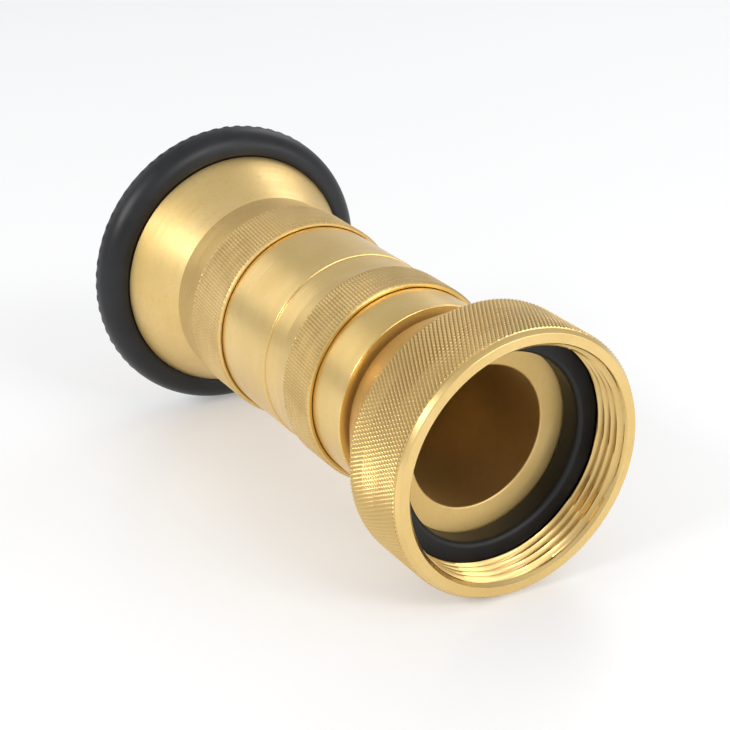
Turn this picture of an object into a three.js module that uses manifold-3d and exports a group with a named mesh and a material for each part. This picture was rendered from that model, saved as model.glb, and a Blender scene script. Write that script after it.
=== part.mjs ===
// Adjustable brass fog nozzle for a fire hose, in millimetres.
// +Y runs along the nozzle's axis, from the hose inlet to the outlet; +Z is up; the origin is on the axis,
// in the plane of the swivel coupling's inlet rim. The pose is shut: the head is fully forward.
import * as THREE from "three";
import { mergeVertices } from "three/addons/utils/BufferGeometryUtils.js";
import Module from "manifold-3d";

const wasm = await Module();
wasm.setup();

// ---- driving dimensions: radii are from the axis, stations are along +Y ----
const GAP = 0.3; // clearance between pieces that touch
const SEAL_GAP = 0.15; // clearance round a seal in its groove
const SIDES = 32; // facets of a large turned piece
const SMALL_SIDES = 16; // facets of a small turned piece

// hose thread: G 2, 11 threads per inch
const THREAD_PITCH = 2.309;
const THREAD_CREST = 28.33;
const THREAD_ROOT = 29.81;
const THREAD_MOUTH = 29.7;
const THREAD_START = 1.8;
const THREAD_TURNS = 4;

const COUPLING_RIM = 33.0;
const RIM_FLAT = 31.8; // outer radius of the flat inlet rim
const RIM_CORNER = 1.2;
const COUPLING_GRIP = 33.2;
const GRIP_START = 3.0;
const GRIP_END = 19.5;
const COUPLING_REAR = 36.5;
const COUPLING_REAR_RADIUS = 23.0;
const NECK_HOLE = 21.6;

// seals of round section: the bottom radius and the stations of each groove, then the ring in it
const DUST_SEAL = { groove: 22.9, start: 32.3, end: 34.6, radius: 21.8, section: 0.8 };
const TAIL_SEAL = { groove: 23.5, start: 52.6, end: 54.8, radius: 24.4, section: 0.72 };
const LAND_SEAL = { groove: 24.3, start: 97.4, end: 99.8, radius: 25.3, section: 0.8 };
const FRICTION_SEAL = { groove: 26.2, start: 111.8, end: 113.4, radius: 25.45, section: 0.6 };

const GASKET_FRONT = 10.1;
const GASKET_REAR = 16.3;
const GASKET_INNER = 23.5;
const GASKET_FACE = 28.0; // the flat that the hose end seats on, just inside the thread's crest

const BORE = 17.75;
const TAIL_FACE = 16.6;
const FLANGE = 26.75;
const FLANGE_REAR = 25.5;
const NECK = 20.8;
const SHOULDER_FACE = 37.9;
const SHOULDER = 25.0;
const SPIGOT = 23.4;
const SPIGOT_START = 56.0;
const SPIGOT_END = 72.0;

const BALL_COUNT = 24;
const BALL_RADIUS = 3.0;
const RACE_RADIUS = 3.3; // radius of the groove's section
const RACE_PITCH = 26.9; // radius of the circle of ball centres
const RACE_STATION = 21.0;
const PORT_RADIUS = 3.1; // ball loading port through the coupling's wall
const PORT_ANGLE = -Math.PI / 6; // from +X towards +Z
const PLUG_RADIUS = 2.85;
const PLUG_TOP = 32.1;
const PLUG_SLOT_WIDTH = 0.8;
const PLUG_SLOT_DEPTH = 0.6;

const BARREL_REAR = 50.3;
const BARREL_KNURL = 26.6;
const BARREL_KNURL_END = 62.0;
const BARREL_WAIST = 25.7;
const WAIST_START = 66.5;
const LAND = 26.05; // smooth cylinder that the head slides on
const LAND_START = 73.0;
const LAND_END = 101.0;
const BARREL_BORE = 20.0;
const BARREL_SHOULDER = 77.6;
const BARREL_THREAD = 24.5; // stands at the pitch line of the head's thread
const BARREL_FRONT = 121.7;

const SPIDER_RADIUS = 23.4;
const SPIDER_INNER = 19.0;
const SPIDER_START = 72.3;
const SPIDER_THICKNESS = 5.0;
const SPIDER_VANES = 3;
const VANE_WIDTH = 2.6;
const HUB = 6.5;
const HUB_START = 70.3;
const HUB_END = 80.3;

const STEM = 4.0;
const STEM_HOLE = 4.3;
const STEM_START = 60.0;
const STEM_END = 138.7;
const STEM_COLLAR = 6.0;
const STEM_COLLAR_LENGTH = 3.0;
const WASHER_RADIUS = 7.8;
const WASHER_THICKNESS = 1.6;
const NUT_FLATS = 13.0;
const NUT_THICKNESS = 6.4;

const HEAD_REAR = 95.6;
const HEAD_KNURL = 27.3;
const HEAD_KNURL_END = 110.5;
const COLLAR_END = 121.0;
const COLLAR_END_RADIUS = 26.3;
const CONE_END = 137.6;
const CONE_END_RADIUS = 33.2;
const SKIRT_BORE = 26.3;
const HEAD_THREAD = 24.85;
const HEAD_THREAD_START = 111.3;
const CHAMBER = 25.2;
const CHAMBER_END = 132.0;
const THROAT = 13.5;
const THROAT_START = 134.4;
const SEAT_START = 135.0;
const SEAT_END = 139.0;
const SEAT_END_RADIUS = 17.5;
const RIM_GROOVE = 31.9;
const RIM_START = 140.2; // the bell's rim, which holds the bumper
const RIM_CHAMFER = 146.2;
const RIM = 34.0;
const RIM_END = 147.6;
const BELL_MOUTH = 31.4;

const BUMPER_CENTRE = 34.6; // centre of the bumper's rounded section
const BUMPER_STATION = 143.0;
const BUMPER_RADIAL = 5.7;
const BUMPER_AXIAL = 5.5;
const BUMPER_FRONT = 149.0;
const TOOTH_COUNT = 72; // teeth moulded round the bumper's front shoulder
const TOOTH_GAP = 1.6;
const TOOTH_DEPTH = 1.3;

const BAFFLE_RADIUS = 17.0;
const BAFFLE_FACE = 141.5;
const BAFFLE_BOSS = 7.7;
const SEAL_START = 135.2;
const SEAL_END = 137.6;
const SCREW_HEAD = 5.8;
const SCREW_SHANK = 2.0;
const SCREW_SEAT = 139.0;
const SCREW_LENGTH = 9.0;
const SLOT_WIDTH = 1.3;
const SLOT_DEPTH = 1.2;

// ---- shared helpers ----

// A point of a turned profile: radius, then station.
const at = (radius, station) => new THREE.Vector2(radius, station);

// Points of an arc in a profile, ends included. Angle 0 points away from the axis, 90 degrees along +Y.
function arc(centreRadius, centreStation, radial, axial, fromDeg, toDeg, steps) {
  const points = [];
  for (let i = 0; i <= steps; i++) {
    const angle = THREE.MathUtils.degToRad(fromDeg + ((toDeg - fromDeg) * i) / steps);
    points.push(at(centreRadius + radial * Math.cos(angle), centreStation + axial * Math.sin(angle)));
  }
  return points;
}

// A closed profile turned about the Y axis. Outer edges run along +Y, so the faces point outwards.
function turned(profile, sides = SIDES) {
  return new THREE.LatheGeometry([...profile, profile[0]], sides);
}

// A solid of revolution whose profile starts and ends on the axis.
function spun(profile, sides = SMALL_SIDES) {
  return new THREE.LatheGeometry(profile, sides);
}

function toSolid(geometry) {
  const bare = new THREE.BufferGeometry();
  bare.setAttribute("position", geometry.getAttribute("position"));
  bare.setIndex(geometry.index);
  const merged = mergeVertices(bare, 1e-4);
  return new wasm.Manifold(
    new wasm.Mesh({
      numProp: 3,
      vertProperties: new Float32Array(merged.attributes.position.array),
      triVerts: new Uint32Array(merged.index.array),
    }),
  );
}

function toGeometry(solid) {
  const mesh = solid.getMesh();
  const geometry = new THREE.BufferGeometry();
  geometry.setAttribute("position", new THREE.BufferAttribute(mesh.vertProperties, 3));
  geometry.setIndex(new THREE.BufferAttribute(mesh.triVerts, 1));
  geometry.computeVertexNormals();
  return geometry;
}

// The first geometry with each of the others cut away.
function cut(geometry, ...tools) {
  return toGeometry(tools.reduce((solid, tool) => solid.subtract(toSolid(tool)), toSolid(geometry)));
}

// A flat outline in X and Z, extruded along +Y from a station.
function extrudedAlongY(shape, start, thickness, curveSegments = 12) {
  const geometry = new THREE.ExtrudeGeometry(shape, {
    depth: thickness,
    bevelEnabled: false,
    curveSegments,
  });
  geometry.rotateX(-Math.PI / 2);
  geometry.translate(0, start, 0);
  return geometry;
}

// The profile of a seal's groove in a shaft. A bore's profile runs the other way.
function grooveFor(seal, surface) {
  return [
    at(surface, seal.start),
    at(seal.groove, seal.start),
    at(seal.groove, seal.end),
    at(surface, seal.end),
  ];
}

function sealRing(seal) {
  const middle = (seal.start + seal.end) / 2;
  return turned(arc(seal.radius, middle, seal.section, seal.section, -180, 120, 5));
}

const nozzle = new THREE.Group();

function add(name, geometry, material) {
  const mesh = new THREE.Mesh(geometry, material);
  mesh.name = name;
  nozzle.add(mesh);
  return mesh;
}

const brass = (color, roughness) => new THREE.MeshStandardMaterial({ color, roughness, metalness: 1 });
const rubber = (color, roughness) => new THREE.MeshStandardMaterial({ color, roughness, metalness: 0 });
const steel = (color, roughness) => new THREE.MeshStandardMaterial({ color, roughness, metalness: 1 });

// ---- swivel coupling and hose seal ----

// The V-shaped ridges of the hose thread, as rings, from the inner end back to the mouth.
function hoseThread() {
  const points = [];
  for (let turn = THREAD_TURNS - 1; turn >= 0; turn--) {
    const station = THREAD_START + turn * THREAD_PITCH;
    points.push(at(THREAD_ROOT, station + THREAD_PITCH * 0.5));
    points.push(at(THREAD_CREST, station + THREAD_PITCH * 0.06));
    points.push(at(THREAD_CREST, station - THREAD_PITCH * 0.06));
  }
  return points;
}

function couplingGeometry() {
  const floor = GASKET_REAR + GAP;
  const raceMouth = RACE_PITCH + SEAL_GAP;
  const body = turned([
    at(RIM_FLAT, 0),
    ...arc(COUPLING_RIM - RIM_CORNER, RIM_CORNER, RIM_CORNER, RIM_CORNER, -60, 0, 2),
    at(COUPLING_RIM, GRIP_START - 0.2),
    at(COUPLING_GRIP, GRIP_START),
    at(COUPLING_GRIP, GRIP_END),
    at(COUPLING_REAR_RADIUS, COUPLING_REAR),
    at(NECK_HOLE, COUPLING_REAR),
    ...grooveFor(DUST_SEAL, NECK_HOLE).reverse(),
    at(NECK_HOLE, FLANGE_REAR + GAP),
    at(raceMouth, FLANGE_REAR + GAP),
    ...arc(RACE_PITCH, RACE_STATION, RACE_RADIUS, RACE_RADIUS, 85, -85, 6),
    at(raceMouth, floor),
    at(THREAD_ROOT + GAP, floor),
    at(THREAD_ROOT + GAP, GASKET_FRONT + 1.2),
    ...hoseThread(),
    at(THREAD_MOUTH, 0),
  ]);
  const portLength = 8;
  const port = new THREE.CylinderGeometry(PORT_RADIUS, PORT_RADIUS, portLength, SMALL_SIDES);
  port.translate(0, RACE_PITCH + 1 + portLength / 2, 0);
  placeAtPort(port);
  return cut(body, port);
}

// Turns a geometry built along +Y so that it points out through the ball loading port.
function placeAtPort(geometry) {
  geometry.rotateZ(-Math.PI / 2);
  geometry.rotateY(-PORT_ANGLE);
  geometry.translate(0, RACE_STATION, 0);
}

function portPlugGeometry() {
  const bottom = RACE_PITCH + RACE_RADIUS + 0.1;
  const plug = spun([
    at(0, bottom),
    at(PLUG_RADIUS, bottom),
    at(PLUG_RADIUS, PLUG_TOP - 0.3),
    at(PLUG_RADIUS - 0.3, PLUG_TOP),
    at(0, PLUG_TOP),
  ]);
  const slot = new THREE.BoxGeometry(2 * PLUG_RADIUS + 1, 2 * PLUG_SLOT_DEPTH, PLUG_SLOT_WIDTH);
  slot.translate(0, PLUG_TOP, 0);
  const slotted = cut(plug, slot);
  placeAtPort(slotted);
  return slotted;
}

function gasketGeometry() {
  const outer = THREAD_ROOT;
  return turned([
    at(GASKET_INNER + 0.3, GASKET_FRONT),
    at(GASKET_FACE, GASKET_FRONT),
    at(outer, GASKET_FRONT + 1.4),
    at(outer, GASKET_REAR),
    at(GASKET_INNER, GASKET_REAR),
    at(GASKET_INNER, GASKET_FRONT + 0.3),
  ]);
}

function ballGeometry() {
  return new THREE.IcosahedronGeometry(BALL_RADIUS, 1);
}

// ---- tail tube: the fixed body that the coupling spins on ----

function tailTubeGeometry() {
  const raceMouth = RACE_PITCH - SEAL_GAP;
  return turned([
    at(BORE + 0.8, TAIL_FACE),
    at(FLANGE - 0.3, TAIL_FACE),
    at(raceMouth, TAIL_FACE + 0.3),
    ...arc(RACE_PITCH, RACE_STATION, RACE_RADIUS, RACE_RADIUS, 265, 95, 6),
    at(FLANGE, FLANGE_REAR),
    at(NECK, FLANGE_REAR),
    at(NECK, SHOULDER_FACE),
    at(SHOULDER - 0.4, SHOULDER_FACE),
    at(SHOULDER, SHOULDER_FACE + 0.4),
    ...grooveFor(TAIL_SEAL, SHOULDER),
    at(SHOULDER, SPIGOT_START),
    at(SPIGOT, SPIGOT_START),
    at(SPIGOT, SPIGOT_END - 0.6),
    at(SPIGOT - 0.6, SPIGOT_END),
    at(BORE, SPIGOT_END),
    at(BORE, TAIL_FACE + 0.8),
  ]);
}

// ---- barrel: screwed on the tail tube, it carries the grip ring and the land for the head ----

function barrelGeometry() {
  return turned([
    at(BARREL_KNURL - 0.3, BARREL_REAR),
    at(BARREL_KNURL, BARREL_REAR + 0.3),
    at(BARREL_KNURL, BARREL_KNURL_END),
    at(BARREL_WAIST, WAIST_START),
    at(BARREL_WAIST, LAND_START - 0.35),
    at(LAND, LAND_START),
    ...grooveFor(LAND_SEAL, LAND),
    at(LAND, LAND_END),
    at(BARREL_THREAD, LAND_END),
    at(BARREL_THREAD, BARREL_FRONT - 0.8),
    at(BARREL_THREAD - 0.8, BARREL_FRONT),
    at(BARREL_BORE, BARREL_FRONT),
    at(BARREL_BORE, BARREL_SHOULDER),
    at(SPIGOT + GAP, BARREL_SHOULDER),
    at(SPIGOT + GAP, SPIGOT_START + GAP),
    at(SHOULDER + GAP, SPIGOT_START + GAP),
    at(SHOULDER + GAP, BARREL_REAR),
  ]);
}

// ---- flow spider, stem and baffle ----

// One of the openings between two vanes, in the flat outline of the spider.
function vaneWindow(index) {
  const inner = HUB;
  const outer = SPIDER_INNER;
  const step = (2 * Math.PI) / SPIDER_VANES;
  const innerHalf = Math.asin(VANE_WIDTH / 2 / inner);
  const outerHalf = Math.asin(VANE_WIDTH / 2 / outer);
  const from = index * step + Math.PI / 2;
  const to = from + step;
  const window = new THREE.Path();
  window.absarc(0, 0, outer, from + outerHalf, to - outerHalf, false);
  window.absarc(0, 0, inner, to - innerHalf, from + innerHalf, true);
  window.closePath();
  return window;
}

function spiderGeometry() {
  const shape = new THREE.Shape();
  shape.absarc(0, 0, SPIDER_RADIUS, 0, 2 * Math.PI, false);
  for (let i = 0; i < SPIDER_VANES; i++) {
    shape.holes.push(vaneWindow(i));
  }
  const web = toSolid(extrudedAlongY(shape, SPIDER_START, SPIDER_THICKNESS));
  const hub = toSolid(spun([at(0, HUB_START), at(HUB, HUB_START), at(HUB, HUB_END), at(0, HUB_END)]));
  const hole = new THREE.CylinderGeometry(STEM_HOLE, STEM_HOLE, 40, SMALL_SIDES);
  hole.translate(0, HUB_START, 0);
  return toGeometry(web.add(hub).subtract(toSolid(hole)));
}

function stemGeometry() {
  const rearCollar = HUB_END + GAP;
  const frontCollar = SEAL_START - GAP - WASHER_THICKNESS - GAP - STEM_COLLAR_LENGTH;
  return spun([
    at(0, STEM_START),
    at(STEM - 0.6, STEM_START),
    at(STEM, STEM_START + 0.6),
    at(STEM, rearCollar),
    at(STEM_COLLAR, rearCollar),
    at(STEM_COLLAR, rearCollar + STEM_COLLAR_LENGTH),
    at(STEM, rearCollar + STEM_COLLAR_LENGTH + 2),
    at(STEM, frontCollar - 2),
    at(STEM_COLLAR, frontCollar),
    at(STEM_COLLAR, frontCollar + STEM_COLLAR_LENGTH),
    at(STEM, frontCollar + STEM_COLLAR_LENGTH),
    at(STEM, STEM_END),
    at(SCREW_SHANK + GAP, STEM_END),
    at(SCREW_SHANK + GAP, STEM_END - SCREW_LENGTH),
    at(0, STEM_END - SCREW_LENGTH),
  ]);
}

function washerGeometry(inner, outer, start, thickness) {
  return turned([
    at(outer, start),
    at(outer, start + thickness),
    at(inner, start + thickness),
    at(inner, start),
  ], SMALL_SIDES);
}

function stemNutGeometry(start) {
  const corner = NUT_FLATS / 2 / Math.cos(Math.PI / 6);
  const hexagon = new THREE.CylinderGeometry(corner, corner, NUT_THICKNESS, 6);
  hexagon.translate(0, start + NUT_THICKNESS / 2, 0);
  const hole = new THREE.CylinderGeometry(STEM_HOLE, STEM_HOLE, 2 * NUT_THICKNESS, SMALL_SIDES);
  hole.translate(0, start + NUT_THICKNESS / 2, 0);
  return cut(hexagon, hole);
}

// The rubber ring that meets the head's conical seat when the nozzle is shut.
function baffleSealGeometry() {
  const seatGap = 0.5;
  const seatAt = (station) => THROAT + (station - SEAT_START) - seatGap;
  return turned([
    at(seatAt(SEAL_START), SEAL_START),
    at(seatAt(SEAL_END), SEAL_END),
    at(BAFFLE_BOSS + GAP, SEAL_END),
    at(BAFFLE_BOSS + GAP, SEAL_START),
  ]);
}

function baffleHeadGeometry() {
  const back = SEAL_END + GAP;
  return turned([
    at(BAFFLE_BOSS, SEAL_START),
    at(BAFFLE_BOSS, back),
    at(BAFFLE_RADIUS - 1.3, back),
    at(BAFFLE_RADIUS - 0.3, back + 1),
    at(BAFFLE_RADIUS, BAFFLE_FACE - 1.3),
    at(BAFFLE_RADIUS - 0.9, BAFFLE_FACE - 0.3),
    at(BAFFLE_RADIUS - 2.2, BAFFLE_FACE),
    at(SCREW_HEAD + 0.6, BAFFLE_FACE),
    at(SCREW_HEAD + 0.6, SCREW_SEAT),
    at(STEM_HOLE, SCREW_SEAT),
    at(STEM_HOLE, SEAL_START),
  ]);
}

function baffleScrewGeometry() {
  const underHead = SCREW_SEAT + GAP;
  const top = BAFFLE_FACE + 0.9;
  const screw = spun([
    at(0, underHead - SCREW_LENGTH + 1),
    at(SCREW_SHANK, underHead - SCREW_LENGTH + 1),
    at(SCREW_SHANK, underHead),
    at(SCREW_HEAD, underHead),
    at(SCREW_HEAD, top - 0.5),
    at(SCREW_HEAD - 0.5, top),
    at(0, top),
  ]);
  const slot = new THREE.BoxGeometry(SLOT_WIDTH, 2 * SLOT_DEPTH, 2 * SCREW_HEAD + 1);
  slot.translate(0, top, 0);
  return cut(screw, slot);
}

// ---- head: grip, collar and bell in one piece, with the throat and the seat inside ----

function headGeometry() {
  return turned([
    at(HEAD_KNURL - 0.4, HEAD_REAR),
    at(HEAD_KNURL, HEAD_REAR + 0.5),
    at(HEAD_KNURL, HEAD_KNURL_END),
    at(HEAD_KNURL - 0.2, HEAD_KNURL_END + 0.4),
    at(COLLAR_END_RADIUS, COLLAR_END),
    at(CONE_END_RADIUS, CONE_END),
    at(RIM_GROOVE, CONE_END + 0.5),
    at(RIM_GROOVE, RIM_START),
    at(RIM, RIM_START + 0.4),
    at(RIM, RIM_CHAMFER),
    at(BELL_MOUTH + 0.9, RIM_END),
    at(BELL_MOUTH, RIM_END),
    at(SEAT_END_RADIUS, SEAT_END),
    at(THROAT, SEAT_START),
    at(THROAT, THROAT_START),
    at(CHAMBER, CHAMBER_END),
    at(CHAMBER, COLLAR_END + 1),
    at(HEAD_THREAD, COLLAR_END + 0.6),
    ...grooveFor(FRICTION_SEAL, HEAD_THREAD).reverse(),
    at(HEAD_THREAD, HEAD_THREAD_START),
    at(SKIRT_BORE, HEAD_THREAD_START),
    at(SKIRT_BORE, HEAD_REAR),
  ]);
}

function bumperGeometry() {
  const ring = turned([
    at(BUMPER_CENTRE - 0.9, CONE_END + 0.35),
    ...arc(BUMPER_CENTRE, BUMPER_STATION, BUMPER_RADIAL, BUMPER_AXIAL, -85, 70, 8),
    at(BUMPER_CENTRE + 1.2, BUMPER_FRONT),
    at(BELL_MOUTH + 1.2, BUMPER_FRONT),
    at(BELL_MOUTH + 0.9, RIM_END + GAP),
    at(RIM + GAP, RIM_CHAMFER + 0.1 + GAP),
    at(RIM + GAP, RIM_START + 0.1),
    at(RIM_GROOVE + GAP, RIM_START - GAP),
    at(RIM_GROOVE + GAP, CONE_END + 0.9),
  ]);
  const gapLength = 12;
  const gaps = [];
  for (let i = 0; i < TOOTH_COUNT; i++) {
    const gap = new THREE.BoxGeometry(gapLength, 2 * TOOTH_DEPTH, TOOTH_GAP);
    gap.translate(BUMPER_CENTRE + gapLength / 2, BUMPER_FRONT, 0);
    gap.rotateY(((i + 0.5) * 2 * Math.PI) / TOOTH_COUNT);
    gaps.push(gap);
  }
  return cut(ring, ...gaps);
}

// ---- assembly ----

const STEEL = 0xb9bcc0;
const SEAL_BLACK = 0x17181a;
const INNER_BRASS = 0xc09850;
const BRIGHT_BRASS = 0xcfa85e;

add("tail_tube", tailTubeGeometry(), brass(0xc9a45c, 0.3));
add("barrel", barrelGeometry(), brass(BRIGHT_BRASS, 0.3));
add("barrel_o_ring", sealRing(TAIL_SEAL), rubber(SEAL_BLACK, 0.6));
add("flow_spider", spiderGeometry(), brass(0xb98f4a, 0.45));
add("baffle_stem", stemGeometry(), brass(INNER_BRASS, 0.35));

const washer = HUB_START - GAP - WASHER_THICKNESS;
const nut = washer - GAP - NUT_THICKNESS;
const retainer = SEAL_START - GAP - WASHER_THICKNESS;
add("stem_washer", washerGeometry(STEM_HOLE, WASHER_RADIUS, washer, WASHER_THICKNESS), steel(STEEL, 0.35));
add("stem_nut", stemNutGeometry(nut), steel(STEEL, 0.35));
add(
  "seal_retainer",
  washerGeometry(STEM_HOLE, THROAT - 1, retainer, WASHER_THICKNESS),
  brass(INNER_BRASS, 0.35),
);
add("baffle_seal", baffleSealGeometry(), rubber(SEAL_BLACK, 0.6));
add("baffle_head", baffleHeadGeometry(), brass(BRIGHT_BRASS, 0.3));
add("baffle_screw", baffleScrewGeometry(), steel(STEEL, 0.3));
add("land_o_ring", sealRing(LAND_SEAL), rubber(SEAL_BLACK, 0.6));

add("swivel_coupling", couplingGeometry(), brass(0xc7a057, 0.38));
add("ball_port_plug", portPlugGeometry(), brass(INNER_BRASS, 0.4));
add("hose_gasket", gasketGeometry(), rubber(0x121314, 0.55));
add("dust_ring", sealRing(DUST_SEAL), rubber(SEAL_BLACK, 0.6));

for (let i = 0; i < BALL_COUNT; i++) {
  const angle = (i * 2 * Math.PI) / BALL_COUNT;
  const name = "race_ball_" + String(i + 1).padStart(2, "0");
  const ball = add(name, ballGeometry(), steel(0xc8cacd, 0.2));
  ball.position.set(RACE_PITCH * Math.cos(angle), RACE_STATION, RACE_PITCH * Math.sin(angle));
}

add("head", headGeometry(), brass(0xd2ab60, 0.36));
add("rubber_bumper", bumperGeometry(), rubber(0x1a1b1d, 0.45));
add("friction_ring", sealRing(FRICTION_SEAL), rubber(SEAL_BLACK, 0.6));

export default nozzle;
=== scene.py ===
"""Brass fog nozzle for a fire hose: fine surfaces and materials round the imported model.

Profiles are in millimetres: a radius from the nozzle's axis, and a station along +Y.
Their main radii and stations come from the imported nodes' boxes.
"""

import math

import bpy
import numpy as np
from mathutils import Matrix, Vector


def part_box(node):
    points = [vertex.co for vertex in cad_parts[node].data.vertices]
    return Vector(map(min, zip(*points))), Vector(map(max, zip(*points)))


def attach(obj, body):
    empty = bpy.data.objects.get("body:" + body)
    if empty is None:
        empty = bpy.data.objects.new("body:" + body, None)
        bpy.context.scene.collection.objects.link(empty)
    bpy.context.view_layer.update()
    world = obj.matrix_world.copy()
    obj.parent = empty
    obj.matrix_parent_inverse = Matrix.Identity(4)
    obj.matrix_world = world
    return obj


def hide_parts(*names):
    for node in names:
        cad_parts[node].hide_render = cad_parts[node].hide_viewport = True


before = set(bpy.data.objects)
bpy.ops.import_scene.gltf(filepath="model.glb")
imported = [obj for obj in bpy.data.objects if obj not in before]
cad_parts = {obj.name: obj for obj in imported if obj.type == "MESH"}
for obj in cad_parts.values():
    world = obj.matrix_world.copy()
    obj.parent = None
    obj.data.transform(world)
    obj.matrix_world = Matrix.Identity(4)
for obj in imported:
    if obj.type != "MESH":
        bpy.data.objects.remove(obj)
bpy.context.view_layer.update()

MM = 0.001
AROUND = 288  # facets round a smooth turned surface
FINE_AROUND = 4 * AROUND  # facets round a knurled one
SHARP_ANGLE = math.radians(38)

# ---------------------------------------------------------------- camera

CAMERA_LENS = 85.28
CAMERA_AZIMUTH = math.radians(31.19)  # from the nozzle's axis, on its -X side
CAMERA_ELEVATION = math.radians(21.65)
CAMERA_DISTANCE = 0.4353
CAMERA_AIM = Vector((-0.00082, 0.06615, -0.00097))

# the two lowest points, which the floor touches
GRIP_REST = Vector((0, 0.003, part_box("swivel_coupling")[0].z))
BUMPER_REST = Vector((0, 0.143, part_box("rubber_bumper")[0].z))


def floor_up():
    along = (BUMPER_REST - GRIP_REST).normalized()
    return Vector((1, 0, 0)).cross(along)


def make_camera():
    up = floor_up()
    ahead = Vector((1, 0, 0)).cross(up) * -1
    level = ahead * math.cos(CAMERA_AZIMUTH) + Vector((1, 0, 0)) * math.sin(CAMERA_AZIMUTH)
    look = level * math.cos(CAMERA_ELEVATION) - up * math.sin(CAMERA_ELEVATION)
    right = look.cross(up).normalized()
    camera_up = right.cross(look)
    data = bpy.data.cameras.new("camera")
    data.lens = CAMERA_LENS
    data.sensor_width = 36.0
    data.clip_start = 0.01
    data.clip_end = 20.0
    camera = bpy.data.objects.new("camera", data)
    camera.matrix_world = Matrix.Translation(CAMERA_AIM - look * CAMERA_DISTANCE) @ Matrix(
        (right, camera_up, -look)
    ).transposed().to_4x4()
    bpy.context.scene.collection.objects.link(camera)
    bpy.context.scene.camera = camera


make_camera()


# ---------------------------------------------------------------- sizes from the frame


def node_span(node):
    """First station, last station and outer radius of a CAD node, in millimetres."""
    low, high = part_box(node)
    return low.y / MM, high.y / MM, max(high.x, high.z) / MM


def node_centre(node):
    low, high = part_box(node)
    return (low + high) / 2


RIM_STATION, COUPLING_REAR, COUPLING_GRIP = node_span("swivel_coupling")
GASKET_FRONT, GASKET_REAR, GASKET_OUTER = node_span("hose_gasket")
TAIL_FACE, SPIGOT_END, FLANGE = node_span("tail_tube")
BARREL_REAR, BARREL_FRONT, BARREL_KNURL = node_span("barrel")
HEAD_REAR, RIM_END, BELL_RIM = node_span("head")
_, BUMPER_FRONT, BUMPER_OUTER = node_span("rubber_bumper")
SPIDER_START, SPIDER_END, SPIDER_RADIUS = node_span("flow_spider")
STEM_START, STEM_END, _ = node_span("baffle_stem")
BAFFLE_BACK, BAFFLE_FACE, BAFFLE_RADIUS = node_span("baffle_head")


# ---------------------------------------------------------------- profile helpers


def fillet(corner, before, after, steps):
    """The points that round one corner (radius, station, fillet) of a profile between its neighbours."""
    radius, station, size = corner
    here = Vector((radius, station))
    inward = (Vector(before) - here).normalized()
    outward = (Vector(after) - here).normalized()
    half = inward.angle(outward, math.pi) / 2
    if size <= 0 or half > math.radians(89):
        return [(radius, station)]
    reach = size / math.tan(half)
    centre = here + (inward + outward).normalized() * (size / math.sin(half))
    first = here + inward * reach - centre
    turn = -first.angle_signed(here + outward * reach - centre)
    points = []
    for k in range(steps + 1):
        angle = turn * k / steps
        across = first.x * math.cos(angle) - first.y * math.sin(angle)
        along = first.x * math.sin(angle) + first.y * math.cos(angle)
        points.append((centre.x + across, centre.y + along))
    return points


def profile(items, facets=AROUND, steps=4):
    """Rows of a closed profile. An item is a corner (radius, station, fillet), or a list of ready rows."""
    ends = []
    for item in items:
        first, last = (item[0], item[-1]) if isinstance(item, list) else (item, item)
        ends.append((first[:2], last[:2]))
    rows = []
    for i, item in enumerate(items):
        if isinstance(item, list):
            rows += item
            continue
        after = ends[(i + 1) % len(items)][0]
        for radius, station in fillet(item, ends[i - 1][1], after, steps):
            rows.append((radius, station, facets if radius > 0 else 1, None))
    return rows


def ring_points(count):
    angles = np.arange(count) * (2 * math.pi / count)
    return angles, np.cos(angles), np.sin(angles)


def link_mesh(name, vertices, faces):
    mesh = bpy.data.meshes.new(name)
    mesh.from_pydata(vertices, [], faces)
    mesh.update()
    piece = bpy.data.objects.new(name, mesh)
    bpy.context.scene.collection.objects.link(piece)
    return piece


def shade(piece, sharp=SHARP_ANGLE):
    """Smooth shading that keeps flats flat and corners crisp."""
    mesh = piece.data
    mesh.polygons.foreach_set("use_smooth", [True] * len(mesh.polygons))
    mesh.set_sharp_from_angle(angle=sharp)
    weighted = piece.modifiers.new("flat_faces", "WEIGHTED_NORMAL")
    weighted.keep_sharp = True
    return piece


def bridge(first, first_count, second, second_count, faces):
    """Faces between two rings of vertices, given where each ring starts and how many it has."""
    if first_count == 1 and second_count == 1:
        return
    if first_count == 1:
        faces += [(first, second + j, second + (j + 1) % second_count) for j in range(second_count)]
    elif second_count == 1:
        faces += [(first + j, second, first + (j + 1) % first_count) for j in range(first_count)]
    elif first_count == second_count:
        for j in range(first_count):
            k = (j + 1) % first_count
            faces.append((first + j, second + j, second + k, first + k))
    elif second_count > first_count:
        ratio = second_count // first_count
        for j in range(first_count):
            fine = [second + (j * ratio + m) % second_count for m in range(ratio + 1)]
            faces.append((first + j, *fine, first + (j + 1) % first_count))
    else:
        ratio = first_count // second_count
        for j in range(second_count):
            fine = [first + (j * ratio + m) % first_count for m in range(ratio, -1, -1)]
            faces.append((second + j, second + (j + 1) % second_count, *fine))


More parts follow.
